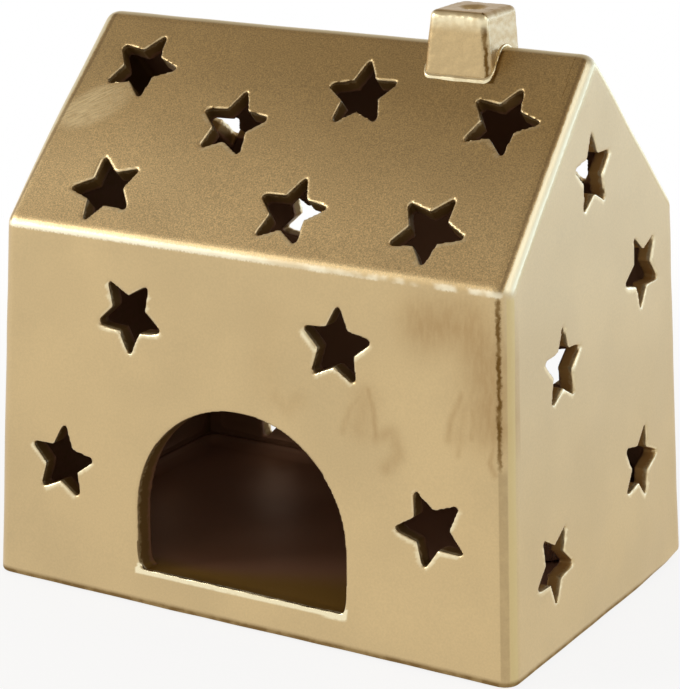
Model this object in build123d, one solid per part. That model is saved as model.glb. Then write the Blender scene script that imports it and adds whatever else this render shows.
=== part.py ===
from build123d import *
import os
from math import cos, hypot, radians, sin, tan

os.makedirs("parts", exist_ok=True)

# A slab-built ceramic house for one tealight: walls, gables and roof slabs luted with slip round a floor,
# a pierced chimney astride the ridge, stars cut through every panel, and the tealight that stands inside.
# The origin is the middle of the base, +Z is up, the front wall with the arch faces -Y, +X is to its right.

# House body: sizes at the table, and the heights where the flat planes meet before their edges are rounded
house_width = 148.0
house_depth = 97.4
eave_height = 93.2
rear_eave_height = 95.6
ridge_height = 139.5
ridge_offset = -1.2
front_wall_lean = 1.15
back_wall_lean = 3.2
right_gable_lean = 2.05
left_gable_lean = 3.6
wall_thickness = 5.0
gable_thickness = 4.2
roof_thickness = 5.0
floor_thickness = 5.0
edge_round = 4.0
foot_round = 1.2

# Arch in the front wall: the floor is level with its sill
arch_width = 59.2
arch_offset = 0.1
sill_height = 9.5
spring_height = 24.4

# One star cutter, and where it was pressed through each panel as seen from outside:
# per cent of the half width from the middle, per cent of the height, and the turn of one tip in degrees
star_arms = 5
star_reach = 10.1
star_waist = 4.75
star_tip_round = 0.25
front_wall_stars = [(-41.6, 79.0, 54), (36.2, 80.0, 14), (-70.2, 35.5, 12), (70.4, 37.4, 44)]
back_wall_stars = [(44.6, 82.9, 54), (-51.1, 51.5, 1), (64.8, 23.3, 0), (-43.3, 80.0, 16), (-6.8, 46.1, 58)]
right_gable_stars = [(-5.8, 79.5, 22), (49.4, 58.7, 47), (-40.6, 49.5, 17), (46.1, 23.7, 1),
                     (-51.9, 16.3, 56)]
left_gable_stars = [(-3.7, 76.7, 54), (-42.7, 57.3, 16), (51.7, 47.3, 68), (-40.6, 20.1, 31),
                    (12.7, 25.8, 48)]
front_roof_stars = [(-64.6, 73.3, 1), (-22.0, 52.5, 16), (19.9, 71.2, 26), (71.3, 66.1, 4),
                    (-57.8, 18.7, 42), (12.4, 19.3, 14), (61.6, 19.6, 67)]
rear_roof_stars = [(70.9, 24.9, 68), (-65.3, 22.3, 60), (39.2, 70.7, 26), (21.6, 29.2, 48),
                   (-24.3, 70.7, 6), (-74.4, 70.7, 31), (-17.5, 20.0, 16)]

# Chimney: sizes at its top, above the line where the roof planes meet; its sides lean in more than its faces
chimney_top_width = 14.8
chimney_top_depth = 16.4
chimney_offset = 37.5
chimney_rise = 7.0
chimney_taper = 5.7
chimney_face_taper = 0.6
chimney_round = 1.8
vent_diameter = 4.0
vent_mouth_round = 2.0
bead_width = 0.8
bead_height = 0.8

# Tealight: a pressed cup with poured wax, a wick and the disc that holds the wick upright
cup_diameter = 38.0
cup_height = 16.0
cup_draw = 0.9
cup_skin = 0.3
cup_rim_width = 0.6
cup_rim_height = 0.6
wax_level = 13.6
wax_shrink = 0.1
wick_diameter = 1.8
wick_above_wax = 7.0
sustainer_diameter = 14.0
sustainer_skin = 0.3
sustainer_neck_diameter = 3.2
sustainer_neck_height = 4.0
tealight_aside = 5.2
tealight_back_gap = 3.7
glide_clearance = 0.2

# Cutters and rough blocks reach this far past what they cut
spare = 2.0


# The six outer planes, each facing out, with its first axis to the right and its second axis up as seen from
# outside. The back wall and the left gable lean in more than the others, so the ridge is off the middle.
half_width = house_width / 2
half_depth = house_depth / 2
front_eave = -half_depth + eave_height * tan(radians(front_wall_lean))
back_eave = half_depth - rear_eave_height * tan(radians(back_wall_lean))
roof_rise = ridge_height - eave_height
rear_roof_rise = ridge_height - rear_eave_height
front_slope = hypot(ridge_offset - front_eave, roof_rise)
rear_slope = hypot(back_eave - ridge_offset, rear_roof_rise)


def leaning(lean):
    """How far out and how far up a face that leans in by so many degrees looks."""
    return cos(radians(lean)), sin(radians(lean))


front_out, front_up = leaning(front_wall_lean)
back_out, back_up = leaning(back_wall_lean)
right_out, right_up = leaning(right_gable_lean)
left_out, left_up = leaning(left_gable_lean)
front_face = Plane((0, -half_depth, 0), x_dir=(1, 0, 0), z_dir=(0, -front_out, front_up))
back_face = Plane((0, half_depth, 0), x_dir=(-1, 0, 0), z_dir=(0, back_out, back_up))
right_face = Plane((half_width, 0, 0), x_dir=(0, 1, 0), z_dir=(right_out, 0, right_up))
left_face = Plane((-half_width, 0, 0), x_dir=(0, -1, 0), z_dir=(-left_out, 0, left_up))
front_roof_face = Plane(
    (0, front_eave, eave_height), x_dir=(1, 0, 0), z_dir=(0, -roof_rise, ridge_offset - front_eave))
rear_roof_face = Plane(
    (0, back_eave, rear_eave_height), x_dir=(-1, 0, 0), z_dir=(0, rear_roof_rise, back_eave - ridge_offset))

# The same planes on the inside of the slabs
front_inner = front_face.offset(-wall_thickness)
back_inner = back_face.offset(-wall_thickness)
right_inner = right_face.offset(-gable_thickness)
left_inner = left_face.offset(-gable_thickness)
front_roof_inner = front_roof_face.offset(-roof_thickness)
rear_roof_inner = rear_roof_face.offset(-roof_thickness)
ridge_mitre = Plane((0, ridge_offset, 0), x_dir=(1, 0, 0), z_dir=(0, 1, 0))


def behind(shape, *planes):
    """What is left of a shape behind every one of the planes."""
    for plane in planes:
        shape = split(shape, bisect_by=plane, keep=Keep.BOTTOM)
    return shape


def in_front_of(shape, plane):
    """What is left of a shape on the side that the plane faces."""
    return split(shape, bisect_by=plane, keep=Keep.TOP)


def rough_block(low, high):
    """A block over the whole house between two heights, larger than the house on every side."""
    block = Box(2 * house_width, 2 * house_depth, high - low)
    return Pos(0, 0, (low + high) / 2) * block


def rounded_house():
    """The outside of the house as one block, leaning walls and roof planes with their edges softened."""
    planes = (front_face, back_face, right_face, left_face, front_roof_face, rear_roof_face)
    house = behind(rough_block(0, 2 * ridge_height), *planes)
    foot_edges = house.edges().group_by(Axis.Z)[0]
    house = fillet(house.edges() - foot_edges, edge_round)
    foot_edges = house.faces().sort_by(Axis.Z)[0].edges()
    return fillet(foot_edges, foot_round)


def star_punch(thickness):
    """The star cutter, long enough to go through a slab from its outer plane at height zero."""
    points = []
    for corner in range(2 * star_arms):
        reach = star_reach if corner % 2 == 0 else star_waist
        angle = radians(180 * corner / star_arms)
        points.append((reach * cos(angle), reach * sin(angle)))
    star = Polygon(*points, align=None)
    between = (star_reach + star_waist) / 2
    tips = [corner for corner in star.vertices() if hypot(corner.X, corner.Y) > between]
    star = fillet(tips, star_tip_round)
    return Pos(0, 0, -thickness - spare) * extrude(star, amount=thickness + 2 * spare)


def cut_stars(slab, face, thickness, half, height, places):
    """A slab with a star pressed through it at each place, square to its face."""
    punch = star_punch(thickness)
    for across, up, turn in places:
        place = Pos(half * across / 100, height * up / 100, 0) * Rot(0, 0, turn)
        slab = slab - face.location * place * punch
    return slab


def arch_cutter():
    """The arch, cut level through the front wall: upright jambs under a half circle."""
    radius = arch_width / 2
    rise = spring_height - sill_height
    jambs = Pos(arch_offset, sill_height + rise / 2) * Rectangle(arch_width, rise)
    crown = Pos(arch_offset, spring_height) * Circle(radius)
    crown = split(crown, bisect_by=Plane((0, spring_height, 0), z_dir=(0, 1, 0)), keep=Keep.TOP)
    face = Plane((0, 0, 0), x_dir=(1, 0, 0), z_dir=(0, -1, 0)) * (jambs + crown)
    return extrude(face, amount=half_depth + spare)


def tapered_block(grow, rounding):
    """The chimney's outside, grown sideways, from its top down into the roof."""
    top = ridge_height + chimney_rise
    drop = chimney_rise + chimney_top_depth
    width_spread = 2 * drop * tan(radians(chimney_taper))
    depth_spread = 2 * drop * tan(radians(chimney_face_taper))
    width, depth = chimney_top_width + 2 * grow, chimney_top_depth + 2 * grow
    foot = Rectangle(width + width_spread, depth + depth_spread)
    upper = Pos(chimney_offset, ridge_offset, top) * Rectangle(width, depth)
    lower = Pos(chimney_offset, ridge_offset, top - drop) * foot
    block = loft([lower, upper])
    foot_edges = block.edges().group_by(Axis.Z)[0]
    return fillet(block.edges() - foot_edges, rounding)


def vent_cutter():
    """The vent, straight down through the chimney and the ridge."""
    length = chimney_rise + chimney_top_depth + 2 * spare
    centre = ridge_height + chimney_rise + spare - length / 2
    return Pos(chimney_offset, ridge_offset, centre) * Cylinder(vent_diameter / 2, length)


def chimney_block(house):
    """The chimney above the roof, with its vent and the softened mouth of the vent."""
    block = tapered_block(0, chimney_round) - house - vent_cutter()
    mouth = block.faces().sort_by(Axis.Z)[-1].edges().filter_by(GeomType.CIRCLE)
    return fillet(mouth, vent_mouth_round)


def slip_bead(house):
    """The bead of slip round the chimney's foot, lying on the roof and following the softened ridge."""
    planes = (front_roof_face.offset(bead_height), rear_roof_face.offset(bead_height))
    skin = behind(rough_block(eave_height, 2 * ridge_height), *planes)
    skin = fillet(skin.edges().group_by(Axis.Z)[-1], edge_round + bead_height)
    band = tapered_block(bead_width, chimney_round + bead_width) & skin
    return band - house - tapered_block(0, chimney_round)


def turned(points):
    """A round solid from its half section, given as distances from the axis and heights."""
    section = Plane.XZ * make_face(Polyline(*points, close=True))
    return revolve(section, axis=Axis.Z)


def cup_radius(height):
    """The outside of the cup's drawn wall at a height above its foot."""
    return cup_diameter / 2 - cup_draw * (1 - height / cup_height)


def tealight_cup():
    """The pressed cup: flat foot, slightly flared wall and a turned-out rim."""
    under_rim = cup_height - cup_rim_height
    rim = cup_diameter / 2 + cup_rim_width
    return turned([
        (0, 0), (cup_radius(0), 0), (cup_radius(under_rim), under_rim), (rim, under_rim), (rim, cup_height),
        (cup_radius(cup_height) - cup_skin, cup_height), (cup_radius(cup_skin) - cup_skin, cup_skin),
        (0, cup_skin),
    ])


def wick_sustainer():
    """The thin disc on the cup's foot, with the neck that grips the wick."""
    disc, neck, bore = sustainer_diameter / 2, sustainer_neck_diameter / 2, wick_diameter / 2
    top = cup_skin + sustainer_skin
    return turned([
        (bore, cup_skin), (disc, cup_skin), (disc, top), (neck, top), (neck, top + sustainer_neck_height),
        (bore, top + sustainer_neck_height),
    ])


def tealight_wick():
    """The wick, from the cup's foot up through the disc's neck and out of the wax."""
    radius = wick_diameter / 2
    top = wax_level + wick_above_wax
    return turned([(0, cup_skin), (radius, cup_skin), (radius, top), (0, top)])


def tealight_wax():
    """The wax, poured round the wick and its disc, and shrunk a little from the cup's wall."""
    inside = cup_skin + wax_shrink
    wax = turned([
        (0, cup_skin), (cup_radius(cup_skin) - inside, cup_skin),
        (cup_radius(wax_level) - inside, wax_level), (0, wax_level),
    ])
    return wax - wick_sustainer() - tealight_wick()


# The slabs, each a part of the rounded block: gables over the full depth, walls between them, roof on top
house = rounded_house()
front_wall = behind(in_front_of(house, front_inner), left_inner, right_inner, front_roof_inner)
front_wall = front_wall - arch_cutter()
back_wall = behind(in_front_of(house, back_inner), left_inner, right_inner, rear_roof_inner)
right_gable_wall = behind(in_front_of(house, right_inner), front_roof_inner, rear_roof_inner)
left_gable_wall = behind(in_front_of(house, left_inner), front_roof_inner, rear_roof_inner)
front_roof_slab = behind(in_front_of(house, front_roof_inner), ridge_mitre) - vent_cutter()
rear_roof_slab = in_front_of(in_front_of(house, rear_roof_inner), ridge_mitre) - vent_cutter()
floor_block = rough_block(sill_height - floor_thickness, sill_height)
floor_slab = behind(floor_block, front_inner, back_inner, left_inner, right_inner)

front_wall = cut_stars(front_wall, front_face, wall_thickness, half_width, eave_height, front_wall_stars)
back_wall = cut_stars(back_wall, back_face, wall_thickness, half_width, eave_height, back_wall_stars)
right_gable_wall = cut_stars(
    right_gable_wall, right_face, gable_thickness, half_depth, ridge_height, right_gable_stars)
left_gable_wall = cut_stars(
    left_gable_wall, left_face, gable_thickness, half_depth, ridge_height, left_gable_stars)
front_roof_slab = cut_stars(
    front_roof_slab, front_roof_face, roof_thickness, half_width, front_slope, front_roof_stars)
rear_roof_slab = cut_stars(
    rear_roof_slab, rear_roof_face, roof_thickness, half_width, rear_slope, rear_roof_stars)

# The tealight stands on the floor, put away to the right of the arch: its rim keeps one named gap from the
# inside of the right gable at the table, and another from the inside of the back wall at its own height
rim_height = sill_height + cup_height
back_wall_inside = half_depth - wall_thickness / back_out - rim_height * tan(radians(back_wall_lean))
tealight_y = back_wall_inside - tealight_back_gap - cup_diameter / 2 - cup_rim_width
tealight_x = half_width - gable_thickness - tealight_aside - cup_diameter / 2 - cup_rim_width
tealight_place = Pos(tealight_x, tealight_y, sill_height + glide_clearance)

pieces = {
    "floor_slab": floor_slab,
    "front_wall": front_wall,
    "back_wall": back_wall,
    "left_gable_wall": left_gable_wall,
    "right_gable_wall": right_gable_wall,
    "front_roof_slab": front_roof_slab,
    "rear_roof_slab": rear_roof_slab,
    "chimney": chimney_block(house),
    "chimney_slip_bead": slip_bead(house),
    "tealight_cup": tealight_place * tealight_cup(),
    "tealight_wax": tealight_place * tealight_wax(),
    "wick_sustainer": tealight_place * wick_sustainer(),
    "tealight_wick": tealight_place * tealight_wick(),
}
for name, piece in pieces.items():
    export_step(piece, f"parts/{name}.step")
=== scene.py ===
from math import atan2, cos, pi, radians, sin, tan

import bpy
import numpy as np
from mathutils import Matrix, Vector
from mathutils.kdtree import KDTree


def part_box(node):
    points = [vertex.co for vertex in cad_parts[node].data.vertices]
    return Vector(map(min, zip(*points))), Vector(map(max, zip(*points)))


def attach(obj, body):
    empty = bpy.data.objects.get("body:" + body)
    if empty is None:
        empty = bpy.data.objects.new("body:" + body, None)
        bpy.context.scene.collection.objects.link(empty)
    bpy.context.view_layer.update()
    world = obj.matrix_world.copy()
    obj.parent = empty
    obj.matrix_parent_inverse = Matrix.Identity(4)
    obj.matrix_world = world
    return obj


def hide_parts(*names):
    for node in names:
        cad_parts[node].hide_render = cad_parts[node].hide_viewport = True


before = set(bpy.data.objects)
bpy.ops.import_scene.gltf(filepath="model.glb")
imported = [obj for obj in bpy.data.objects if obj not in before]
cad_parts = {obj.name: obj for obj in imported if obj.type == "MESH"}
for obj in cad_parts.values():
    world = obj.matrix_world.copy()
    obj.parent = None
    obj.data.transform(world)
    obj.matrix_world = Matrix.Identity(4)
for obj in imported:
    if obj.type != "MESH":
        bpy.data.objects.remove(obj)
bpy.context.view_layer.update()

# The fired body: walls, gables, roof and floor are clay slabs luted edge to edge with slip and wiped smooth,
# so no seam shows. Copies of the slabs are fused into one skin here, softened, and cut at the joints again.
house_half_width = 0.074
house_half_depth = 0.0487
eave_height = 0.0932
rear_eave_height = 0.0956
ridge_height = 0.1395
ridge_offset = -0.0012
front_lean = radians(1.15)
back_lean = radians(3.2)
right_lean = radians(2.05)
left_lean = radians(3.6)
slab_thickness = 0.005
gable_thickness = 0.0042
clay_grain = 0.00052
edge_round = 0.004
wipe_passes = 1
hand_wobble = 0.0004
wobble_reach = 0.022

front_eave = -house_half_depth + eave_height * tan(front_lean)
back_eave = house_half_depth - rear_eave_height * tan(back_lean)
front_pitch = atan2(ridge_height - eave_height, ridge_offset - front_eave)
rear_pitch = atan2(ridge_height - rear_eave_height, back_eave - ridge_offset)
ridge_point = Vector((0, ridge_offset, ridge_height))
# Each outer face: a point on it, the way it looks, and the thickness of its slab
outer_faces = {
    "front": (
        Vector((0, -house_half_depth, 0)), Vector((0, -cos(front_lean), sin(front_lean))), slab_thickness),
    "back": (
        Vector((0, house_half_depth, 0)), Vector((0, cos(back_lean), sin(back_lean))), slab_thickness),
    "right": (
        Vector((house_half_width, 0, 0)), Vector((cos(right_lean), 0, sin(right_lean))), gable_thickness),
    "left": (
        Vector((-house_half_width, 0, 0)), Vector((-cos(left_lean), 0, sin(left_lean))), gable_thickness),
    "front roof": (
        ridge_point, Vector((0, -sin(front_pitch), cos(front_pitch))), slab_thickness),
    "rear roof": (
        ridge_point, Vector((0, sin(rear_pitch), cos(rear_pitch))), slab_thickness),
}


def pick(piece):
    """Make one piece the only selected and active one."""
    bpy.ops.object.select_all(action="DESELECT")
    piece.select_set(True)
    bpy.context.view_layer.objects.active = piece


def clay_copy(name, *nodes):
    """A merged copy of some CAD slabs as one new mesh."""
    copies = []
    for node in nodes:
        copy = bpy.data.objects.new(name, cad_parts[node].data.copy())
        bpy.context.scene.collection.objects.link(copy)
        copy.data.materials.clear()
        copies.append(copy)
    pick(copies[0])
    for copy in copies:
        copy.select_set(True)
    if len(copies) > 1:
        bpy.ops.object.join()
    bpy.ops.object.mode_set(mode="EDIT")
    bpy.ops.mesh.select_all(action="SELECT")
    bpy.ops.mesh.remove_doubles(threshold=1e-6)
    bpy.ops.object.mode_set(mode="OBJECT")
    return bpy.context.view_layer.objects.active


def apply_all(piece):
    """Apply every modifier of a piece, in order."""
    pick(piece)
    for name in [modifier.name for modifier in piece.modifiers]:
        bpy.ops.object.modifier_apply(modifier=name)


def fire(piece, grain, passes, wobble, reach):
    """Fuse a clay copy into one skin, wipe its edges and make it as uneven as handwork, inwards only."""
    skin = piece.modifiers.new("skin", "REMESH")
    skin.mode = "VOXEL"
    skin.voxel_size = grain
    wipe = piece.modifiers.new("wipe", "SMOOTH")
    wipe.factor = 0.5
    wipe.iterations = passes
    clouds = bpy.data.textures.new("handwork", "CLOUDS")
    clouds.noise_scale = reach
    clouds.noise_depth = 1
    uneven = piece.modifiers.new("uneven", "DISPLACE")
    uneven.texture = clouds
    uneven.texture_coords = "LOCAL"
    uneven.strength = wobble
    uneven.mid_level = 0.9
    apply_all(piece)


def read_points(piece, what):
    """One row of three numbers for each point of a piece: its place, or the way that it looks."""
    rows = np.empty(3 * len(piece.data.vertices), np.float32)
    if what == "place":
        piece.data.vertices.foreach_get("co", rows)
    else:
        piece.data.vertex_normals.foreach_get("vector", rows)
    return rows.reshape(-1, 3).astype(float)


def move_points(piece, places):
    """Put a piece's points at new places."""
    piece.data.vertices.foreach_set("co", np.asarray(places, np.float32).ravel())
    piece.data.update()


def write_attribute(piece, name, values):
    """Store one number for each point of a piece, for its material to read."""
    attribute = piece.data.attributes.new(name, "FLOAT", "POINT")
    attribute.data.foreach_set("value", np.asarray(values, np.float32))


def ramp(values, low, high):
    """Nought below one value, one above another, and a smooth rise between them."""
    share = np.clip((values - low) / (high - low), 0, 1)
    return share * share * (3 - 2 * share)


def outer_height(places, face):
    """How far each place lies in front of the plane of an outer face, and less than nought behind it."""
    point, normal, thickness = outer_faces[face]
    return (places - np.array(point)) @ np.array(normal)


def depth_below_outside(places):
    """How far each place lies under the outside of the house with its rounded edges, in millimetres."""
    heights = [outer_height(places, face) for face in outer_faces]
    highest = np.max(heights, axis=0)
    near = np.sqrt(np.sum([np.maximum(height + edge_round, 0) ** 2 for height in heights], axis=0))
    return 1000 * np.where(highest > -edge_round, edge_round - near, -highest)


def turn_over(first_height, second_height, rounding):
    """How far the skin has turned from one face over a rounded edge towards the next face, in degrees."""
    first = np.clip(first_height + rounding, 0, None)
    second = np.clip(second_height + rounding, 0, None)
    return np.degrees(np.arctan2(second, first))


def sharpness(piece, grain):
    """How sharply the skin bends outwards at each point, from nought on flat clay to one on a cut edge."""
    places = read_points(piece, "place")
    ends = np.empty(2 * len(piece.data.edges), np.int32)
    piece.data.edges.foreach_get("vertices", ends)
    first, second = ends[0::2], ends[1::2]
    count = np.bincount(ends, minlength=len(places))
    around = np.zeros_like(places)
    for axis in range(3):
        around[:, axis] += np.bincount(first, places[second, axis], len(places))
        around[:, axis] += np.bincount(second, places[first, axis], len(places))
    around /= np.maximum(count, 1)[:, None]
    rise = np.sum((places - around) * read_points(piece, "look"), axis=1) / grain
    return ramp(rise, 0.05, 0.16)


def widened(piece, values, share):
    """Values that have spread to each point's neighbours by a share of what they are."""
    ends = np.empty(2 * len(piece.data.edges), np.int32)
    piece.data.edges.foreach_get("vertices", ends)
    wider = values.copy()
    np.maximum.at(wider, ends[0::2], share * values[ends[1::2]])
    np.maximum.at(wider, ends[1::2], share * values[ends[0::2]])
    return wider


gable_bow = 0.0021
bow_start = 0.03
bow_run = 0.036
corner_lift = 0.0022
lift_height = 0.012


def shape_house(places):
    """Handwork: the left gable stands straighter over the eaves, and one back corner is wiped up."""
    over_eave = np.clip((places[:, 2] - eave_height) / (ridge_height - eave_height), 0, 1)
    to_left = np.clip((-places[:, 0] - bow_start) / bow_run, 0, 1)
    places[:, 0] -= gable_bow * to_left * np.sin(over_eave * pi / 2)
    to_back = 0.45 * ramp(places[:, 1], 0.01, 0.045) + 0.55 * ramp(places[:, 1], 0.036, house_half_depth)
    low = np.clip(1 - places[:, 2] / lift_height, 0, 1)
    places[:, 2] += corner_lift * to_back * ramp(places[:, 0], 0.055, 0.07) * low
    return places


arch_half = 0.0296
arch_offset = 0.0001
sill_height = 0.0095
spring_height = 0.0244
jamb_slant = 0.0013
jamb_draw_in = 0.0009
jamb_reach = 0.0016
foot_top = 0.0145
foot_run = 0.005
sill_lip = 0.0004
lip_reach = 0.0008
lip_forward = 0.00006


def shape_arch(places):
    """The hand-cut arch: its left side is aslant, its feet are drawn in, and paint stands along the sill."""
    aside = places[:, 0] - arch_offset
    above = np.maximum(places[:, 2] - spring_height, 0)
    face = -house_half_depth + places[:, 2] * tan(front_lean)
    inward = np.clip((places[:, 1] - face) / slab_thickness, 0, 1)
    in_wall = 1 - ramp(places[:, 1] - face, slab_thickness + 0.0005, slab_thickness + 0.002)
    near_edge = np.exp(-((np.hypot(aside, above) - arch_half) / jamb_reach) ** 2)
    on_left = np.clip(-aside / arch_half, 0, 1) ** 2
    foot = np.clip((foot_top - places[:, 2]) / foot_run, 0, 1) ** 2
    on_right = np.clip(aside / arch_half, 0, 1) ** 2
    places[:, 0] += near_edge * on_left * in_wall * (jamb_slant * inward + jamb_draw_in * foot)
    places[:, 0] -= near_edge * on_right * in_wall * jamb_draw_in * foot
    waviness = 0.7 + 0.3 * np.sin(places[:, 0] * 900) * np.sin(places[:, 0] * 370 + 1)
    from_sill = np.hypot(places[:, 1] - face, places[:, 2] - sill_height)
    lip = np.exp(-(from_sill / lip_reach) ** 2) * waviness
    lip = lip * (np.abs(aside) < arch_half)
    places[:, 2] += sill_lip * lip
    places[:, 1] -= lip_forward * lip
    return places


cove_round = 0.006


def press_coves(places):
    """Inside, a coil of clay was pressed along the floor's edges and up the corners, rounding them."""
    walls = ("back", "left", "right")
    gaps = [-outer_height(places, wall) - outer_faces[wall][2] for wall in walls]
    gaps.append(places[:, 2] - sill_height)
    ways = [-np.array(outer_faces[wall][1]) for wall in walls] + [np.array((0, 0, 1))]
    reach = np.clip(cove_round - np.clip(gaps, 0, None), 0, None)
    near = np.maximum(np.linalg.norm(reach, axis=0), cove_round)
    inside = (np.min(gaps, axis=0) > -0.0012) & (places[:, 1] > -house_half_depth + 2 * slab_thickness)
    over_roof = np.maximum(outer_height(places, "front roof"), outer_height(places, "rear roof"))
    inside = inside * ramp(-over_roof - slab_thickness, 0.0005, 0.004)
    for way, share in zip(ways, reach):
        places += (share * (1 - cove_round / near) * inside)[:, None] * way
    return places


tint_reach_least = 0.008
tint_reach_more = 0.013


def sill_tint(places, looks):
    """A browner tint over the sill and the front of the floor, reaching furthest in on the right."""
    inward = places[:, 1] + house_half_depth - sill_height * tan(front_lean)
    tint_reach = tint_reach_least + tint_reach_more * ramp(places[:, 0], -0.02, 0.03)
    flat = ramp(looks[:, 2], 0.4, 0.8) * (np.abs(places[:, 2] - sill_height) < 0.0012)
    return flat * (1 - ramp(inward / tint_reach, 0.5, 1.5)) * (np.abs(places[:, 0]) < 0.05)


def face_rise(places):
    """How far up the nearest outer face of the house looks."""
    heights = [outer_height(places, face) for face in outer_faces]
    rises = np.array([normal.z for point, normal, thickness in outer_faces.values()])
    return rises[np.argmax(heights, axis=0)]


def edge_highlight(places, looks, sharp, depth):
    """Painted highlights: pale on cut edges of the outside, strongest where they look up, and a line along
    the sill's edge.
    """
    aside = places[:, 0] - arch_offset
    above = np.maximum(places[:, 2] - spring_height, 0)
    at_arch = (places[:, 1] < -0.04) & (np.hypot(aside, above) < arch_half + 0.003)
    least = np.where(at_arch, 0.03, np.where(places[:, 0] > 0.064, 0.6, 0.45))
    upward = least + (1 - least) * ramp(looks[:, 2] - face_rise(places), -0.05, 0.3)
    near_outside = 1 - ramp(depth, 0.9, 1.6)
    rim_glint = sharp * upward * near_outside * ramp(places[:, 2], 0.002, 0.005)
    lit = np.where(upward > 0.75, rim_glint, 0) * ~at_arch
    lit = widened(clay, widened(clay, lit, 0.95), 0.8) * near_outside
    rim_glint = np.maximum(rim_glint, lit)
    face = -house_half_depth + sill_height * tan(front_lean)
    from_edge = np.hypot(places[:, 1] - face, places[:, 2] - sill_height - 0.0002)
    along = (np.abs(aside) < arch_half + 0.0004) * (places[:, 1] < -0.045)
    line = (1 - ramp(from_edge, 0.0010, 0.0016)) * along
    blob = 1 - ramp(np.hypot(from_edge, (aside - arch_half + 0.003) / 3), 0.0013, 0.0022)
    corner = np.hypot(places[:, 2] - sill_height, aside + arch_half - jamb_slant * 0.6)
    mitre = 0.35 * (1 - ramp(corner, 0.0003, 0.0006)) * (places[:, 1] < -0.0435)
    return np.maximum.reduce([np.clip(rim_glint, 0, 1), 1.6 * line, 1.6 * blob * along, mitre])


# Finger marks on the front wall: the points across and up that a finger went through, in millimetres,
# how far the mark reaches from them, and how dark it is
finger_marks = (
    (((35.6, 65.5), (36.9, 61.5), (37.8, 55.0)), 0.9, 0.5),
    (((35.2, 66.0), (30.8, 60.0), (28.9, 54.5)), 1.0, 0.3),
    (((35.0, 63.5), (33.4, 56.0)), 3.4, 0.3),
    (((37.5, 54.5), (42.0, 56.5), (44.0, 51.5), (40.5, 47.5)), 1.8, 0.34),
    (((59.8, 68.5), (57.2, 62.0), (56.4, 57.0)), 1.0, 0.45),
    (((60.5, 66.0), (59.0, 54.0)), 0.8, 0.35),
    (((63.8, 69.6), (62.4, 64.5), (62.3, 58.5)), 0.9, 0.5),
    (((61.3, 67.0), (59.4, 58.0)), 2.8, 0.3),
    (((7.4, 69.0), (9.5, 61.0)), 4.0, 0.12),
    (((10.5, 60.0), (14.0, 57.6), (17.0, 60.5)), 2.2, 0.2),
    (((50.0, 83.0), (61.0, 84.5), (66.0, 76.0), (67.5, 62.0)), 6.5, 0.6),
    (((67.8, 57.0), (67.0, 53.5), (68.2, 51.0)), 0.8, 0.5),
    (((9.0, 78.0), (8.0, 62.0)), 5.0, 0.08),
)


def soiled(places):
    """How dirty the front wall is with finger marks."""
    across = 1000 * places[:, [0, 2]]
    dirt = np.zeros(len(places))
    for points, reach, darkness in finger_marks:
        for start, end in zip(points[:-1], points[1:]):
            start = np.array(start)
            way = np.array(end) - start
            share = np.clip((across - start) @ way / (way @ way), 0, 1)
            apart = np.linalg.norm(across - start - share[:, None] * way, axis=1)
            dirt = np.maximum(dirt, darkness * np.exp(-(apart / reach) ** 2))
    return dirt * (places[:, 1] < -0.042)


# Where a pale patch of painted highlight lies on the front roof
sheen_patch_middle = (-0.0565, 0.1178)
sheen_patch_way = (0.842, 0.54)
sheen_patch_half_length = 0.0125
sheen_patch_half_width = 0.0068
roof_stretch = 1.41


def roof_patch_sheen(places):
    """One in the pale patch of the front roof, a painted highlight streaked like scratches, nought
    elsewhere.
    """
    across = places[:, 0] - sheen_patch_middle[0]
    up_slope = (places[:, 2] - sheen_patch_middle[1]) * roof_stretch
    along = sheen_patch_way[0] * across + sheen_patch_way[1] * up_slope
    aside = -sheen_patch_way[1] * across + sheen_patch_way[0] * up_slope
    patch = 1 - ramp(np.hypot(along / sheen_patch_half_length, aside / sheen_patch_half_width), 0.55, 1.0)
    return patch * (1 - 0.55 * ramp(places[:, 0], -0.062, -0.048)) * (places[:, 1] < ridge_offset)


# The foot of the chimney's right side, where the roof beside it lies in its shade
chimney_middle = (0.0375, ridge_offset)
chimney_half_width = 0.0074
chimney_half_depth = 0.0082
chimney_top = 0.1465
chimney_side_lean = radians(5.7)
chimney_face_lean = radians(0.6)
chimney_round = 0.0018


def chimney_side(places):
    """How far each place lies to the right of the chimney's right side."""
    drop = chimney_top - places[:, 2]
    return places[:, 0] - chimney_middle[0] - chimney_half_width - drop * tan(chimney_side_lean)


def contact_shade_lines(places):
    """Painted shade: dark lines along the foot, where the house meets what it stands on, and beside the
    chimney's right side.
    """
    foot = 0.9 * (1 - ramp(places[:, 2], 0.0012, 0.0023))
    shade = 1 - ramp(chimney_side(places), 0.0007, 0.0013)
    at_side = (places[:, 2] > 0.1305) & (places[:, 1] < chimney_middle[1] - 0.002) & (places[:, 0] > 0.04)
    return np.maximum(foot, shade * at_side)


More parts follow.
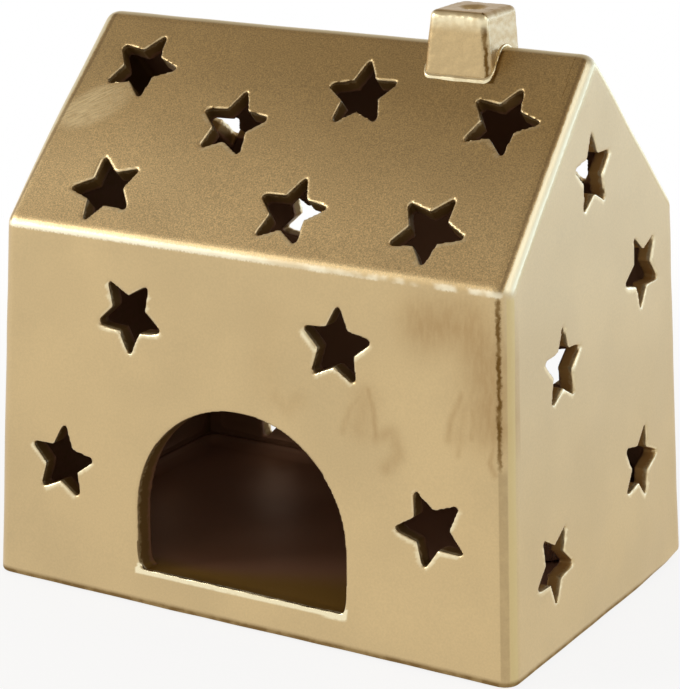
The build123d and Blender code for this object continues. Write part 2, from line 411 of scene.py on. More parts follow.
slab_names = ("floor_slab", "front_wall", "back_wall", "left_gable_wall", "right_gable_wall",
              "front_roof_slab", "rear_roof_slab")
clay = clay_copy("clay", *slab_names)
fire(clay, clay_grain, wipe_passes, hand_wobble, wobble_reach)
move_points(clay, press_coves(shape_arch(shape_house(read_points(clay, "place")))))
clay_places = read_points(clay, "place")
clay_looks = read_points(clay, "look")
clay_depth = depth_below_outside(clay_places)
clay_front = outer_height(clay_places, "front")
clay_right = outer_height(clay_places, "right")
clay_side = np.maximum(clay_right, outer_height(clay_places, "left"))
clay_roof = outer_height(clay_places, "front roof")
clay_rear = outer_height(clay_places, "rear roof")
on_outside = clay_depth < 1.5
clay_values = {
    "slab_depth": clay_depth,
    "edge_highlight": edge_highlight(clay_places, clay_looks, sharpness(clay, clay_grain), clay_depth),
    "corner_turn": turn_over(clay_front, clay_right, edge_round) * on_outside,
    "verge_turn": turn_over(np.maximum(clay_roof, clay_rear), clay_side, edge_round) * on_outside,
    "eave_turn": turn_over(clay_front, clay_roof, edge_round) * on_outside,
    "ridge_turn": turn_over(clay_roof, clay_rear, edge_round) * on_outside,
    "contact_shade_lines": contact_shade_lines(clay_places) * on_outside,
    "soiled": soiled(clay_places),
    "roof_patch_sheen": roof_patch_sheen(clay_places),
    "gable_share": ramp(clay_side, -0.0022, -0.0004),
    "roof_share": ramp(clay_looks[:, 2], 0.2, 0.55) * (clay_places[:, 2] > 0.08),
    "floor_share": ramp(clay_looks[:, 2], 0.5, 0.9) * (clay_places[:, 2] < 0.02),
    "sill_tint": sill_tint(clay_places, clay_looks),
}
for name, values in clay_values.items():
    write_attribute(clay, name, values)


# The gold: satin metallic paint sprayed over the fired clay from outside, thick on the faces,
# thinning to brown in the stars and the arch, and leaving the chamber in its dark clay.
def new_node(material, kind, inputs=None, **settings):
    """Add a node to a material, set it, and link or set its inputs."""
    node = material.node_tree.nodes.new(kind)
    for name, value in settings.items():
        setattr(node, name, value)
    for name, value in (inputs or {}).items():
        socket = node.inputs[name]
        if isinstance(value, bpy.types.NodeSocket):
            material.node_tree.links.new(value, socket)
        else:
            socket.default_value = value
    return node


def new_finish(name):
    """A new material and its shader."""
    material = bpy.data.materials.new(name)
    material.use_nodes = True
    return material, material.node_tree.nodes["Principled BSDF"]


def feed(material, shader, **inputs):
    """Link or set inputs of a shader, with underscores for the blanks in their names."""
    for name, value in inputs.items():
        socket = shader.inputs[name.replace("_", " ")]
        if isinstance(value, bpy.types.NodeSocket):
            material.node_tree.links.new(value, socket)
        else:
            socket.default_value = value


def noise(material, place, size, detail=2.0, roughness=0.5):
    """Noise whose lumps are about this many metres across."""
    inputs = {"Vector": place, "Scale": 1 / size, "Detail": detail, "Roughness": roughness}
    return new_node(material, "ShaderNodeTexNoise", inputs).outputs["Fac"]


def spread(material, value, low, high, new_low=0.0, new_high=1.0):
    """Map a value smoothly from one range to another, held at both ends."""
    inputs = {"Value": value, "From Min": low, "From Max": high, "To Min": new_low, "To Max": new_high}
    node = new_node(material, "ShaderNodeMapRange", inputs, interpolation_type="SMOOTHSTEP")
    return node.outputs["Result"]


def work_out(material, operation, first, second):
    """One step of arithmetic between two numbers."""
    return new_node(material, "ShaderNodeMath", {0: first, 1: second}, operation=operation).outputs["Value"]


def blend_colours(material, share, first, second, mode="MIX"):
    """Mix two colours by a share."""
    mix = new_node(material, "ShaderNodeMix", data_type="RGBA", blend_type=mode)
    for socket, value in ((mix.inputs[0], share), (mix.inputs[6], first), (mix.inputs[7], second)):
        if isinstance(value, bpy.types.NodeSocket):
            material.node_tree.links.new(value, socket)
        else:
            socket.default_value = value
    return mix.outputs[2]


def between(material, value, low, high, soft):
    """One where a value lies between two others, with soft ends."""
    return work_out(material, "MULTIPLY", spread(material, value, low - soft, low + soft),
                    spread(material, value, high - soft, high + soft, 1.0, 0.0))


def along_way(material, place, way):
    """How far each place lies along a way."""
    node = new_node(material, "ShaderNodeVectorMath", {0: place, 1: way}, operation="DOT_PRODUCT")
    return node.outputs["Value"]


def stretched(material, place, way, across, stretch):
    """Coordinates along two ways, drawn out along the first one, for streaks."""
    drawn = work_out(material, "DIVIDE", along_way(material, place, way), stretch)
    aside = along_way(material, place, across)
    return new_node(material, "ShaderNodeCombineXYZ", {"X": drawn, "Y": aside}).outputs["Vector"]


def gold_paint():
    """Satin gold over dark clay."""
    wall_gold = (0.575, 0.42, 0.20, 1)
    gable_foot_sheen_gold = (0.535, 0.395, 0.18, 1)
    gable_top_sheen_gold = (0.59, 0.48, 0.285, 1)
    roof_lit_gold = (0.715, 0.54, 0.275, 1)
    roof_shaded_gold = (0.42, 0.285, 0.108, 1)
    edge_highlight_cream = (0.92, 0.81, 0.53, 1)
    verge_highlight_cream = (0.80, 0.73, 0.50, 1)
    eave_highlight_cream = (0.95, 0.88, 0.66, 1)
    corner_highlight_gold = (0.60, 0.47, 0.20, 1)
    painted_shade_brown = (0.145, 0.075, 0.018, 1)
    roof_patch_sheen_gold = (0.95, 0.80, 0.48, 1)
    smudge_brown = (0.34, 0.19, 0.05, 1)
    thin_brown = (0.15, 0.083, 0.025, 1)
    lit_gable_thin_brown = (0.36, 0.20, 0.065, 1)
    bare_clay = (0.19, 0.094, 0.049, 1)
    lit_floor_clay = (0.28, 0.14, 0.082, 1)
    sill_tint_brown = (0.23, 0.125, 0.026, 1)
    material, shader = new_finish("gold_painted_clay")
    place = new_node(material, "ShaderNodeTexCoord").outputs["Object"]
    stored = {}
    for name in clay_values:
        stored[name] = new_node(material, "ShaderNodeAttribute", attribute_name=name).outputs["Fac"]
    roof = stored["roof_share"]
    up = new_node(material, "ShaderNodeSeparateXYZ", {"Vector": place})
    grain = noise(material, place, 0.00034, 4.0, 0.6)
    wall_grain = noise(material, place, 0.0005, 3.0)
    lumps = noise(material, place, 0.0035, 2.0)
    cloud = noise(material, place, 0.03, 3.0)
    ragged = spread(material, noise(material, place, 0.0012, 3.0), 0.3, 0.7, -0.35, 0.35)
    ragged_depth = work_out(material, "ADD", stored["slab_depth"], ragged)
    thin = spread(material, ragged_depth, 0.5, 1.7)
    bare = spread(material, ragged_depth, 3.3, 4.2)

    # Walls and roof, with painted shade that darkens the roof towards the ridge and towards the right
    climb = work_out(material, "ADD", spread(material, up.outputs["Z"], 0.094, 0.136),
                     spread(material, up.outputs["X"], -0.07, 0.07, -0.2, 0.2))
    roof_gold = blend_colours(material, climb, roof_lit_gold, roof_shaded_gold)
    # The gables are painted paler than the walls, and paler still towards their tops: a painted sheen of the
    # light that falls on them.
    gable_climb = spread(material, up.outputs["Z"], 0.01, 0.12)
    gable_sheen_gold = blend_colours(material, gable_climb, gable_foot_sheen_gold, gable_top_sheen_gold)
    side_gold = blend_colours(material, stored["gable_share"], wall_gold, gable_sheen_gold)
    gold = blend_colours(material, roof, side_gold, roof_gold)
    gold = blend_colours(material, 1.0, gold, spread(material, cloud, 0.3, 0.7, 0.95, 1.05), "MULTIPLY")
    # A painted sheen: lighter towards the lower right, darker up and to the left.
    twice_up = work_out(material, "MULTIPLY", up.outputs["Z"], 2.0)
    to_low_right = work_out(material, "SUBTRACT", up.outputs["X"], twice_up)
    low_right_sheen = spread(material, to_low_right, -0.12, 0.02, 0.99, 1.055)
    gold = blend_colours(material, 1.0, gold, low_right_sheen, "MULTIPLY")
    roof_speckle = spread(material, grain, 0.25, 0.75, 0.66, 1.36)
    wall_speckle = spread(material, wall_grain, 0.25, 0.75, 0.96, 1.04)
    speckle = new_node(material, "ShaderNodeMix", {0: roof, 2: wall_speckle, 3: roof_speckle}).outputs[0]
    gold = blend_colours(material, 1.0, gold, speckle, "MULTIPLY")

    # The pale patch on the roof, a painted highlight streaked like scratches, the finger marks and the
    # painted dark lines
    scratched = stretched(material, place, (0.842, 0.381, 0.381), (-0.539, 0.595, 0.595), 8)
    scratches = spread(material, noise(material, scratched, 0.0004, 3.0), 0.32, 0.66, 0.3, 1.0)
    scratches = work_out(material, "MULTIPLY", stored["roof_patch_sheen"], scratches)
    gold = blend_colours(material, scratches, gold, roof_patch_sheen_gold)
    smear = noise(material, stretched(material, place, (0, 0, 1), (1, 0, 0), 3.5), 0.0012, 3.0)
    marks = work_out(material, "MULTIPLY", stored["soiled"], spread(material, smear, 0.3, 0.65, 0.75, 1.05))
    gold = blend_colours(material, marks, gold, smudge_brown)

    # The front right corner, painted reflection: a jagged dark line over a broad dull stripe, and a paler
    # stripe of painted highlight beside them
    jag = spread(material, noise(material, place, 0.0016, 4.0, 0.6), 0.3, 0.7, -4.0, 4.0)
    corner = work_out(material, "ADD", stored["corner_turn"], jag)
    below_eave = work_out(material, "MULTIPLY", spread(material, up.outputs["Z"], 0.0905, 0.0920, 1.0, 0.0),
                          spread(material, up.outputs["Y"], -0.0405, -0.0380, 1.0, 0.0))
    upper = spread(material, up.outputs["Z"], 0.050, 0.054)
    on_chimney = spread(material, up.outputs["Z"], 0.128, 0.130)
    on_corner = work_out(material, "MAXIMUM", work_out(material, "MULTIPLY", upper, below_eave), on_chimney)
    line = work_out(material, "MULTIPLY", between(material, corner, 13.0, 27.5, 5.5), on_corner)
    dull = work_out(material, "MULTIPLY", below_eave, spread(material, upper, 0.0, 1.0, 0.3, 0.0))
    stripe = work_out(material, "MULTIPLY", between(material, stored["corner_turn"], 14.0, 45.0, 2.5), dull)
    beside = work_out(material, "MULTIPLY", between(material, stored["corner_turn"], 47.0, 78.0, 2.5), 0.7)
    gold = blend_colours(material, work_out(material, "MULTIPLY", beside, below_eave), gold, corner_highlight_gold)
    painted_dark = work_out(material, "MAXIMUM", stripe, line)
    painted_dark = work_out(material, "MAXIMUM", painted_dark, stored["contact_shade_lines"])
    # The painted dark lines and stripes are mottled and laid over the gold in a shade brown.
    mottled_painted_dark = work_out(material, "MULTIPLY", painted_dark, spread(material, lumps, 0.35, 0.6, 0.72, 1.0))
    gold = blend_colours(material, mottled_painted_dark, gold, painted_shade_brown)

    # The verge of the roof: a cream band of painted highlight, with a dark line of painted shade on the
    # roof's side
    on_roof = spread(material, up.outputs["Z"], 0.0915, 0.0935)
    verge = work_out(material, "ADD", stored["verge_turn"], work_out(material, "MULTIPLY", jag, 0.35))
    verge_line = work_out(material, "MULTIPLY", between(material, verge, 22.0, 34.0, 3.0), 0.5)
    verge_band = work_out(material, "MULTIPLY", between(material, verge, 38.0, 73.0, 2.5), 0.9)
    gold = blend_colours(material, work_out(material, "MULTIPLY", verge_line, on_roof), gold, painted_shade_brown)
    gold = blend_colours(material, work_out(material, "MULTIPLY", verge_band, on_roof), gold, verge_highlight_cream)

    # The front eave's painted highlight, pale at the left and patchy further right, and a painted highlight
    # along the ridge
    patchy = spread(material, noise(material, place, 0.006, 2.0), 0.38, 0.62, 0.0, 0.7)
    along_eave = spread(material, up.outputs["X"], -0.03, 0.045)
    eave_share = new_node(material, "ShaderNodeMix", {0: along_eave, 2: 0.95, 3: patchy}).outputs[0]
    eave_grain = spread(material, wall_grain, 0.3, 0.7, -1.0, 1.0)
    eave = work_out(material, "ADD", stored["eave_turn"], eave_grain)
    off_gable = spread(material, stored["gable_share"], 0.02, 0.3, 1.0, 0.0)
    at_eave = between(material, up.outputs["Z"], 0.0885, 0.0945, 0.0008)
    eave_band = work_out(material, "MULTIPLY", between(material, eave, 35.0, 43.5, 2.5), eave_share)
    eave_band = work_out(material, "MULTIPLY", eave_band, off_gable)
    eave_band = work_out(material, "MULTIPLY", eave_band, at_eave)
    gold = blend_colours(material, eave_band, gold, eave_highlight_cream)
    ridge_band = work_out(material, "MULTIPLY", between(material, stored["ridge_turn"], 22.0, 62.0, 8.0),
                          work_out(material, "MULTIPLY", roof, 0.95))
    gold = blend_colours(material, ridge_band, gold, verge_highlight_cream)

    # Painted highlights on cut edges, brown cut faces, bare clay inside with a painted lighter floor, and a
    # browner tint over the sill
    edge_glint = work_out(material, "MULTIPLY", stored["edge_highlight"],
                    spread(material, noise(material, place, 0.002), 0.3, 0.6, 0.6, 1.0))
    gold = blend_colours(material, edge_glint, gold, edge_highlight_cream)
    off_glint = work_out(material, "SUBTRACT", 1.0, edge_glint)
    # Inside the right gable's stars the thin brown is painted lighter, as if lit.
    on_right_gable = spread(material, up.outputs["X"], 0.0655, 0.067)
    thin_gold = blend_colours(material, on_right_gable, thin_brown, lit_gable_thin_brown)
    colour = blend_colours(material, work_out(material, "MULTIPLY", thin, off_glint), gold, thin_gold)
    # The floor of the chamber is painted lighter than its walls, as if lit through the arch.
    clay_colour = blend_colours(material, stored["floor_share"], bare_clay, lit_floor_clay)
    colour = blend_colours(material, bare, colour, clay_colour)
    tint_share = work_out(material, "MULTIPLY", stored["sill_tint"], off_glint)
    colour = blend_colours(material, tint_share, colour, sill_tint_brown)

    metal = spread(material, thin, 0.0, 1.0, 1.0, 0.5)
    metal = work_out(material, "MULTIPLY", metal, spread(material, bare, 0.0, 1.0, 1.0, 0.6))
    satin = spread(material, grain, 0.3, 0.7, 0.40, 0.46)
    satin = work_out(material, "SUBTRACT", satin, work_out(material, "MULTIPLY", edge_glint, 0.1))
    satin = work_out(material, "ADD", satin, spread(material, bare, 0.0, 1.0, 0.0, 0.04))
    height = work_out(material, "MULTIPLY", grain, spread(material, roof, 0.0, 1.0, 0.15, 1.0))
    height = work_out(material, "ADD", height, work_out(material, "MULTIPLY", lumps, 0.9))
    bump = new_node(material, "ShaderNodeBump", {"Strength": 0.5, "Distance": 0.00006, "Height": height})
    coat = work_out(material, "MULTIPLY", spread(material, thin, 0.0, 1.0, 1.0, 0.0),
                    spread(material, painted_dark, 0.0, 1.0, 1.0, 0.0))
    verge_outside = work_out(material, "MULTIPLY", between(material, verge, 62.0, 86.0, 5.0), on_roof)
    coat = work_out(material, "MULTIPLY", coat, spread(material, verge_outside, 0.0, 1.0, 1.0, 0.35))
    feed(material, shader, Base_Color=colour, Metallic=metal, Roughness=satin, Specular_IOR_Level=0.1,
         Specular_Tint=(1.0, 0.87, 0.66, 1), Coat_Weight=coat,
         Coat_Roughness=0.35, Coat_IOR=1.5, Normal=bump.outputs["Normal"])
    return material


gold_painted_clay = gold_paint()

# The slabs: seven flat sheets of clay rolled to 4 or 5 mm, with mitred or butted edges joined by slip.
# Each one is cut out of the fired skin just inside its joints, so together they show an unbroken surface.
joint_offset = 0.0004
cut_planes = {}
for face, (point, normal, thickness) in outer_faces.items():
    cut_planes[face] = (point - (thickness + joint_offset) * normal, normal)
cut_planes["ridge"] = (Vector((0, ridge_offset, 0)), Vector((0, 1, 0)))
cut_planes["above floor"] = (Vector((0, 0, sill_height + 0.002)), Vector((0, 0, 1)))

# For each slab, the planes that it lies outside of and the planes that it lies inside of
slab_cuts = {
    "right_gable_wall": (["right"], ["front roof", "rear roof"]),
    "left_gable_wall": (["left"], ["front roof", "rear roof"]),
    "front_wall": (["front"], ["right", "left", "front roof"]),
    "back_wall": (["back"], ["right", "left", "rear roof"]),
    "front_roof_slab": (["front roof"], ["ridge"]),
    "rear_roof_slab": (["rear roof", "ridge"], []),
    "floor_slab": ([], ["above floor", "front", "back", "right", "left"]),
}


def joint_block(outside_of, inside_of):
    """The room that one slab takes up: a large block cut off at the planes of its joints."""
    bpy.ops.object.select_all(action="DESELECT")
    bpy.ops.mesh.primitive_cube_add(size=0.3, location=(0, 0, 0.1))
    block = bpy.context.active_object
    bpy.ops.object.transform_apply(location=True, rotation=False, scale=False)
    bpy.ops.object.mode_set(mode="EDIT")
    for plane in outside_of + inside_of:
        point, normal = cut_planes[plane]
        keep_outside = plane in outside_of
        bpy.ops.mesh.select_all(action="SELECT")
        bpy.ops.mesh.bisect(plane_co=point, plane_no=normal, use_fill=True,
                            clear_inner=keep_outside, clear_outer=not keep_outside)
    bpy.ops.object.mode_set(mode="OBJECT")
    return block


clay_points = KDTree(len(clay_places))
for number, place in enumerate(clay_places):
    clay_points.insert(place, number)
clay_points.balance()


def finish_joints(slab, planes):
    """Shade the flat joints apart from the skin, and give the points along them the values of the skin."""
    places = read_points(slab, "place")
    ends = np.empty(2 * len(slab.data.edges), np.int32)
    slab.data.edges.foreach_get("vertices", ends)
    at_joint = np.zeros(len(slab.data.edges), bool)
    new_points = np.zeros(len(places), bool)
    for plane in planes:
        point, normal = cut_planes[plane]
        on_plane = np.abs((places - np.array(point)) @ np.array(normal)) < 2e-6
        at_joint |= on_plane[ends[0::2]] & on_plane[ends[1::2]]
        new_points |= on_plane
    slab.data.attributes.new("sharp_edge", "BOOLEAN", "EDGE").data.foreach_set("value", at_joint)
    nearest = [clay_points.find(place)[1] for place in places[new_points]]
    for name, skin_values in clay_values.items():
        values = np.empty(len(places), np.float32)
        slab.data.attributes[name].data.foreach_get("value", values)
        values[new_points] = skin_values[nearest]
        slab.data.attributes[name].data.foreach_set("value", values)


def cut_slab(name, outside_of, inside_of):
    """One slab of the fired skin, closed at its joints."""
    block = joint_block(outside_of, inside_of)
    slab = bpy.data.objects.new("fired_" + name, clay.data.copy())
    bpy.context.scene.collection.objects.link(slab)
    cut = slab.modifiers.new("cut", "BOOLEAN")
    cut.operation = "INTERSECT"
    cut.solver = "MANIFOLD"
    cut.object = block
    apply_all(slab)
    bpy.data.objects.remove(block)
    bpy.ops.object.shade_smooth()
    finish_joints(slab, outside_of + inside_of)
    return slab


for name, (outside_of, inside_of) in slab_cuts.items():
    slab = cut_slab(name, outside_of, inside_of)
    slab.data.materials.clear()
    slab.data.materials.append(gold_painted_clay)
    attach(slab, "house")
    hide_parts(name)
bpy.data.objects.remove(clay)

# The chimney: a small block of clay with a vent through it, set astride the ridge while the clay was soft.
# Its sides lean in, its edges are wiped round, and it was painted together with the house.
chimney_grain = 0.0003
chimney_wobble = 0.0002
chimney_wobble_reach = 0.0022
vent_reach = 0.0042
vent_paint = 0.0007
vent_thinning = 2500
chimney = clay_copy("fired_chimney", "chimney")
fire(chimney, chimney_grain, wipe_passes, chimney_wobble, chimney_wobble_reach)
chimney_places = read_points(chimney, "place")
from_vent = np.hypot(chimney_places[:, 0] - chimney_middle[0], chimney_places[:, 1] - chimney_middle[1])
chimney_drop = chimney_top - chimney_places[:, 2]
in_vent = vent_thinning * np.clip(chimney_drop - vent_paint, 0, 0.02) * (from_vent < vent_reach)
chimney_face = chimney_middle[1] - chimney_half_depth - chimney_drop * tan(chimney_face_lean)
chimney_front = chimney_face - chimney_places[:, 1]
# Its front right corner carries the house's painted dark reflection line, its right side a share of the
# gables' painted paler sheen, and its brow under the top front edge a painted highlight.
chimney_corner = turn_over(chimney_front, chimney_side(chimney_places), chimney_round)
chimney_corner = np.where(chimney_corner > 86, 60, 19 + (chimney_corner - 33) * 0.42) * (chimney_corner > 1)
chimney_brow = turn_over(-chimney_drop, chimney_front, chimney_round)
near_top = 1 - ramp(chimney_drop, 0.0014, 0.0052)
chimney_glint = ramp(chimney_brow, 36, 44) * near_top * (chimney_front > -0.0014)
write_attribute(chimney, "slab_depth", in_vent)
write_attribute(chimney, "corner_turn", chimney_corner)
write_attribute(chimney, "gable_share", 0.35 * ramp(chimney_side(chimney_places), -0.001, -0.0002))
write_attribute(chimney, "edge_highlight", 0.95 * chimney_glint)
write_attribute(chimney, "roof_share", np.full(len(chimney_places), 0.2))
write_attribute(chimney, "verge_turn", np.where(chimney_brow > 36, 90, chimney_brow))
pick(chimney)
bpy.ops.object.shade_smooth_by_angle(angle=radians(60))
chimney.data.materials.append(gold_painted_clay)
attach(chimney, "house")
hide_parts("chimney")

# The slip bead: the line of slip that was squeezed out round the chimney's foot and dried there.
# It was smoothed with a wet finger and painted with the rest, and its front and right carry a painted
# highlight.
bead_grain = 0.00018
bead_passes = 4
bead_wobble = 0.0003
bead_wobble_reach = 0.004
bead_shrink = 0.965
bead_sink = 0.0002
bead = clay_copy("slip_bead", "chimney_slip_bead")
fire(bead, bead_grain, bead_passes, bead_wobble, bead_wobble_reach)
bead_places = read_points(bead, "place")
bead_places[:, :2] = chimney_middle + bead_shrink * (bead_places[:, :2] - chimney_middle)
bead_places[:, 2] -= bead_sink
move_points(bead, bead_places)
bead_looks = read_points(bead, "look")
write_attribute(bead, "edge_highlight", 0.95 * ramp(bead_looks[:, 0] - bead_looks[:, 1], 0.0, 0.4))
pick(bead)
bpy.ops.object.shade_smooth_by_angle(angle=radians(60))
bead.data.materials.append(gold_painted_clay)
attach(bead, "house")
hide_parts("chimney_slip_bead")

# The tealight's cup: a shallow can pressed from thin aluminium, its side drawn into fine flutes
# and its rim rolled outwards. It is loose, and stands on the floor of the house.
cup_low, cup_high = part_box("tealight_cup")
tealight_middle = Vector(((cup_low[0] + cup_high[0]) / 2, (cup_low[1] + cup_high[1]) / 2, cup_low[2]))
flute_count = 72
flute_depth = 0.00012
foil_dull = (0.70, 0.70, 0.72, 1)
foil_bright = (0.84, 0.84, 0.85, 1)
# Radius and height of the foil's two skins, in millimetres, from the middle of its foot round to inside
cup_profile = (
    (0, 0.3), (6.2, 0.3), (6.8, 0.05), (17.4, 0.05), (17.9, 0.25), (18.1, 0.8), (18.3, 2.0),
    (18.75, 13.4), (18.88, 14.7), (19.05, 15.2), (19.4, 15.25), (19.56, 15.5), (19.5, 15.8),
    (19.2, 15.95), (18.85, 15.85), (18.72, 15.4), (18.62, 14.7), (18.5, 13.4), (18.05, 2.0),
    (17.85, 0.9), (17.6, 0.5), (17.0, 0.38), (7.0, 0.38), (6.4, 0.55), (0, 0.55),
)


def spun_piece(name, profile, middle, steps):
    """A piece turned from a profile of radii and heights in millimetres round an upright axis, closed."""
    outline = bpy.data.meshes.new(name)
    points = [(middle.x + radius / 1000, middle.y, middle.z + height / 1000) for radius, height in profile]
    outline.from_pydata(points, [(i, i + 1) for i in range(len(points) - 1)], [])
    piece = bpy.data.objects.new(name, outline)
    bpy.context.scene.collection.objects.link(piece)
    pick(piece)
    bpy.ops.object.mode_set(mode="EDIT")
    bpy.ops.mesh.select_all(action="SELECT")
    bpy.ops.mesh.spin(steps=steps, angle=2 * pi, center=middle, axis=(0, 0, 1))
    bpy.ops.mesh.select_all(action="SELECT")
    bpy.ops.mesh.remove_doubles(threshold=1e-6)
    bpy.ops.mesh.normals_make_consistent(inside=False)
    bpy.ops.object.mode_set(mode="OBJECT")
    bpy.ops.object.shade_smooth_by_angle(angle=radians(40))
    return piece


def round_the_axis(places, middle):
    """The angle and the radius of each place about an upright axis."""
    across = places[:, 0] - middle.x
    along = places[:, 1] - middle.y
    return np.arctan2(along, across), np.hypot(across, along)


cup = spun_piece("pressed_cup", cup_profile, tealight_middle, 4 * flute_count)
cup_places = read_points(cup, "place")
cup_angle, cup_radius = round_the_axis(cup_places, tealight_middle)
cup_height = cup_places[:, 2] - tealight_middle.z
fluted = ramp(cup_height, 0.0006, 0.002) * (1 - ramp(cup_height, 0.0134, 0.0147)) * (cup_radius > 0.0175)
draw = flute_depth * fluted * (np.cos(flute_count * cup_angle) - 1)
cup_places[:, 0] += draw * np.cos(cup_angle)
cup_places[:, 1] += draw * np.sin(cup_angle)
move_points(cup, cup_places)
cup_finish, cup_shader = new_finish("pressed_aluminium")
cup_place = new_node(cup_finish, "ShaderNodeTexCoord").outputs["Object"]
drawn_up = new_node(cup_finish, "ShaderNodeMapping", {"Vector": cup_place, "Scale": (1, 1, 0.12)})
scuffs = noise(cup_finish, drawn_up.outputs["Vector"], 0.0006, 4.0)
cup_bump = new_node(cup_finish, "ShaderNodeBump", {"Strength": 0.3, "Distance": 0.00003, "Height": scuffs})
feed(cup_finish, cup_shader, Metallic=1.0, Roughness=spread(cup_finish, scuffs, 0.3, 0.7, 0.2, 0.36),
     Base_Color=blend_colours(cup_finish, scuffs, foil_dull, foil_bright),
     Normal=cup_bump.outputs["Normal"])
cup.data.materials.append(cup_finish)
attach(cup, "tealight")
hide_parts("tealight_cup")

# The wax: paraffin poured into the cup round the wick, where it set.
# It sank a little as it cooled, and stands higher at the cup's wall and at the wick.
wax_dull = (0.80, 0.77, 0.69, 1)
wax_white = (0.90, 0.88, 0.82, 1)
wax_profile = (
    (0, 0.6), (17.0, 0.6), (17.75, 1.2), (18.0, 2.2), (18.38, 12.8), (18.42, 13.55),
    (18.2, 13.45), (17.4, 13.2), (15.0, 13.1), (10.0, 13.08), (5.0, 13.12), (2.6, 13.2),
    (1.5, 13.36), (1.0, 13.56), (0.6, 13.56), (0, 13.5),
)
wax = spun_piece("poured_wax", wax_profile, tealight_middle, 96)
wax_finish, wax_shader = new_finish("candle_wax")
wax_place = new_node(wax_finish, "ShaderNodeTexCoord").outputs["Object"]
crystals = noise(wax_finish, wax_place, 0.0022, 4.0)
wax_bump = new_node(wax_finish, "ShaderNodeBump", {"Strength": 0.3, "Distance": 0.0001, "Height": crystals})
feed(wax_finish, wax_shader, Subsurface_Weight=0.35, Subsurface_Scale=0.003,
     Roughness=spread(wax_finish, crystals, 0.3, 0.7, 0.32, 0.5),
     Base_Color=blend_colours(wax_finish, crystals, wax_dull, wax_white),
     Normal=wax_bump.outputs["Normal"])
wax.data.materials.append(wax_finish)
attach(wax, "tealight")
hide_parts("tealight_wax")

# The wick's sustainer: a small foot of tinned steel, pressed from sheet and crimped round the wick.
# It lies on the bottom of the cup, under the wax, and is the frame's own solid with a new finish.
tin_dark = (0.45, 0.45, 0.46, 1)
tin_pale = (0.66, 0.66, 0.66, 1)
sustainer_finish, sustainer_shader = new_finish("tinned_steel")
sustainer_place = new_node(sustainer_finish, "ShaderNodeTexCoord").outputs["Object"]
tin_bloom = noise(sustainer_finish, sustainer_place, 0.0015, 4.0)
feed(sustainer_finish, sustainer_shader, Metallic=1.0,
     Base_Color=blend_colours(sustainer_finish, tin_bloom, tin_dark, tin_pale),
     Roughness=spread(sustainer_finish, tin_bloom, 0.3, 0.7, 0.3, 0.5))
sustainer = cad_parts["wick_sustainer"]
sustainer.data.materials.clear()
sustainer.data.materials.append(sustainer_finish)

# The wick: three strands of cotton twisted together and waxed, gripped by the sustainer's neck.
# It stands a few millimetres out of the wax, and its tip is drawn thin.
cotton_dark = (0.70, 0.66, 0.56, 1)
cotton_pale = (0.90, 0.87, 0.80, 1)
wick_low, wick_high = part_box("tealight_wick")
wick_radius = 0.0009
wick_length = wick_high[2] - wick_low[2]
wick_middle = (tealight_middle.x, tealight_middle.y, wick_low[2] + wick_length / 2)
wick_tip = 0.0012
strand_pitch = 0.0042
bpy.ops.object.select_all(action="DESELECT")
bpy.ops.mesh.primitive_cylinder_add(vertices=48, radius=wick_radius, depth=wick_length, location=wick_middle)
wick = bpy.context.active_object
wick.name = "twisted_wick"
bpy.ops.object.transform_apply(location=True, rotation=True, scale=True)
bpy.ops.object.mode_set(mode="EDIT")
bpy.ops.mesh.select_mode(type="EDGE")
bpy.ops.mesh.select_all(action="DESELECT")
bpy.ops.object.mode_set(mode="OBJECT")
for edge in wick.data.edges:
    ends = [wick.data.vertices[corner].co.z for corner in edge.vertices]
    edge.select = abs(ends[0] - ends[1]) > wick_length / 2
bpy.ops.object.mode_set(mode="EDIT")
bpy.ops.mesh.subdivide(number_cuts=60)
bpy.ops.object.mode_set(mode="OBJECT")
wick_places = read_points(wick, "place")
wick_angle, wick_from_axis = round_the_axis(wick_places, tealight_middle)
twist = wick_angle + 2 * pi * (wick_places[:, 2] - wick_low[2]) / strand_pitch
tip = ramp(wick_places[:, 2], wick_high[2] - wick_tip, wick_high[2])
strand = (0.86 + 0.14 * np.abs(np.cos(1.5 * twist)) - 0.02) * (1 - 0.35 * tip)
wick_places[:, 0] = tealight_middle.x + wick_from_axis * strand * np.cos(wick_angle)
wick_places[:, 1] = tealight_middle.y + wick_from_axis * strand * np.sin(wick_angle)
move_points(wick, wick_places)
bpy.ops.object.shade_smooth_by_angle(angle=radians(60))
wick_finish, wick_shader = new_finish("wick_cotton")
wick_place = new_node(wick_finish, "ShaderNodeTexCoord").outputs["Object"]
fibres = noise(wick_finish, wick_place, 0.0003, 3.0)
wick_bump = new_node(wick_finish, "ShaderNodeBump", {"Strength": 0.6, "Distance": 0.00005, "Height": fibres})
feed(wick_finish, wick_shader, Roughness=0.7, Sheen_Weight=0.2, Normal=wick_bump.outputs["Normal"],
     Base_Color=blend_colours(wick_finish, fibres, cotton_dark, cotton_pale))
wick.data.materials.append(wick_finish)
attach(wick, "tealight")
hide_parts("tealight_wick")

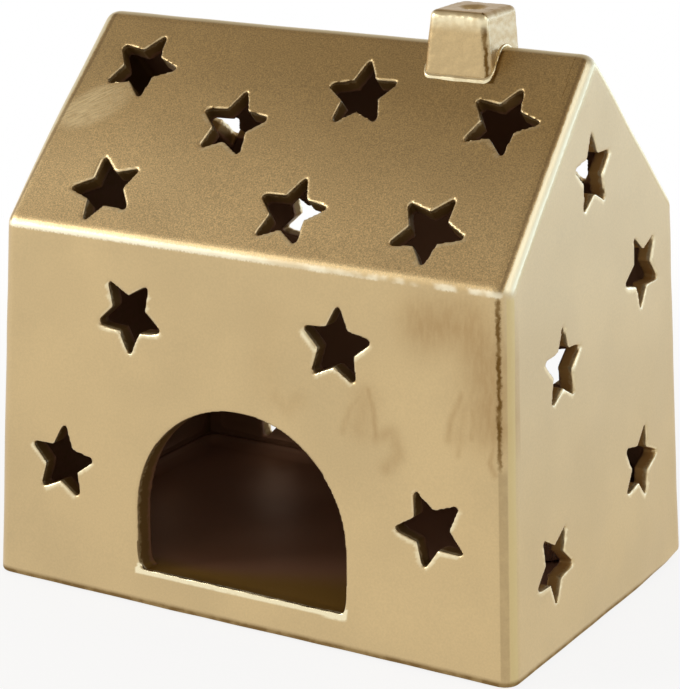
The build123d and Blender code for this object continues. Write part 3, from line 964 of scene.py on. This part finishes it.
# The studio: a white table that runs on into a white background, and keeps the soft shadow of the house.
# Two large soft lamps stand at the front left and on the right, under a dim warm ceiling.
table_colour = (0.93, 0.93, 0.93, 1)
wall_white = (0.92, 0.92, 0.92, 1)
window_blue = (2.0, 2.6, 3.5, 1)
window_way = (0.52, 0.82, 0.2)
ceiling_warm = (0.40, 0.34, 0.27, 1)
bpy.ops.object.select_all(action="DESELECT")
bpy.ops.mesh.primitive_plane_add(size=8, location=(0, 0, -0.00005))
table = bpy.context.active_object
table.name = "table"
table_finish, table_shader = new_finish("white_table")
table_place = new_node(table_finish, "ShaderNodeTexCoord").outputs["Object"]
table_reach = new_node(table_finish, "ShaderNodeVectorMath", {0: table_place}, operation="LENGTH")
table_white = spread(table_finish, table_reach.outputs["Value"], 0.1, 0.4, 0.85, 1.0)
ray = new_node(table_finish, "ShaderNodeLightPath")
seen = work_out(table_finish, "MAXIMUM", ray.outputs["Is Camera Ray"], ray.outputs["Is Glossy Ray"])
seen = work_out(table_finish, "MAXIMUM", seen, ray.outputs["Is Transmission Ray"])
white_share = work_out(table_finish, "MULTIPLY", seen, table_white)
white_glow = new_node(table_finish, "ShaderNodeEmission", {"Color": (1, 1, 1, 1), "Strength": 1.0})
feed(table_finish, table_shader, Base_Color=table_colour, Roughness=0.9, Specular_IOR_Level=0.1)
table_layers = {0: white_share, 1: table_shader.outputs["BSDF"], 2: white_glow.outputs["Emission"]}
table_mix = new_node(table_finish, "ShaderNodeMixShader", table_layers)
table_out = table_finish.node_tree.nodes["Material Output"]
table_finish.node_tree.links.new(table_mix.outputs["Shader"], table_out.inputs["Surface"])
table.data.materials.append(table_finish)


def soft_lamp(name, place, aim, width, height, power, colour):
    """A large soft lamp at a place, turned to an aim."""
    bpy.ops.object.light_add(type="AREA", location=place)
    lamp = bpy.context.active_object
    lamp.name = name
    lamp.data.shape = "RECTANGLE"
    lamp.data.size = width
    lamp.data.size_y = height
    lamp.data.energy = power
    lamp.data.color = colour
    lamp.rotation_euler = (Vector(aim) - Vector(place)).to_track_quat("-Z", "Y").to_euler()


soft_lamp("front_left_lamp", (-1.25, -0.85, 0.62), (0, 0, 0.07), 0.6, 0.5, 9, (1.0, 0.99, 0.97))
soft_lamp("right_lamp", (1.15, -0.1, 0.9), (0, 0, 0.07), 0.7, 0.7, 3, (0.97, 0.98, 1.0))

world = bpy.data.worlds.new("studio")
bpy.context.scene.world = world
world.use_nodes = True
world.node_tree.nodes.clear()
direction = new_node(world, "ShaderNodeTexCoord").outputs["Generated"]
split = new_node(world, "ShaderNodeSeparateXYZ", {"Vector": direction})
ceiling_share = spread(world, split.outputs["Z"], 0.05, 0.75)
to_window = along_way(world, direction, window_way)
window_share = work_out(world, "MULTIPLY", spread(world, to_window, 0.6, 0.98),
                        spread(world, split.outputs["Z"], 0.05, 0.3, 1.0, 0.15))
walls = blend_colours(world, window_share, wall_white, window_blue)
surroundings = blend_colours(world, ceiling_share, walls, ceiling_warm)
room_light = new_node(world, "ShaderNodeBackground", {"Color": surroundings, "Strength": 1.0})
new_node(world, "ShaderNodeOutputWorld", {"Surface": room_light.outputs["Background"]})

# The camera: the photograph's view, from the front right and a little above, through a long lens.
# Its place, turn and lens were fitted to the corners of the house.
camera_place = (0.3068, -0.5111, 0.2388)
camera_turn = radians(30.979)
camera_pitch = radians(16.819)
camera_roll = radians(0.46)
camera_lens = 130.05
bpy.ops.object.camera_add(location=camera_place)
camera = bpy.context.active_object
turn = Matrix.Rotation(camera_turn, 4, "Z") @ Matrix.Rotation(pi / 2 - camera_pitch, 4, "X")
camera.rotation_euler = (turn @ Matrix.Rotation(-camera_roll, 4, "Z")).to_euler()
camera.data.sensor_width = 36
camera.data.lens = camera_lens
camera.data.clip_start = 0.01
bpy.context.scene.camera = camera
bpy.context.scene.view_settings.view_transform = "Standard"
